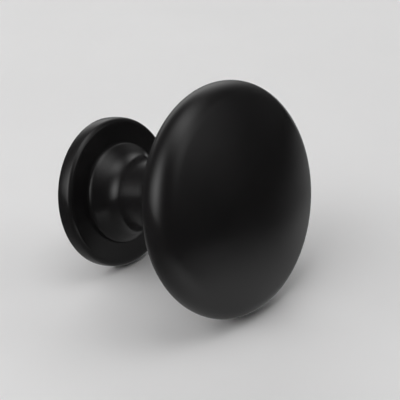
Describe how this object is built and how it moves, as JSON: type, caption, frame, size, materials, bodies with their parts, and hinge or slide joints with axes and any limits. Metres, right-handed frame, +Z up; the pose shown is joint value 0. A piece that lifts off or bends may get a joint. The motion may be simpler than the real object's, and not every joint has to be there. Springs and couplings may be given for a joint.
{
  "type": "cabinet knob",
  "caption": "Round mushroom-shaped cabinet knob with a domed head, a waisted neck and a flanged base, tapped from behind for one screw.",
  "frame": {"origin": "centre of the mounting face, at the mouth of the screw hole", "axes": "-Y out from the door along the knob's axis, towards the head; +Y into the door; +Z up, as on an upright door"},
  "size_m": [0.03, 0.0261, 0.03],
  "materials": {
    "knob": "satin black coating over cast metal"
  },
  "bodies": {
    "root": {"knob": "knob"}
  },
  "joints": []
}
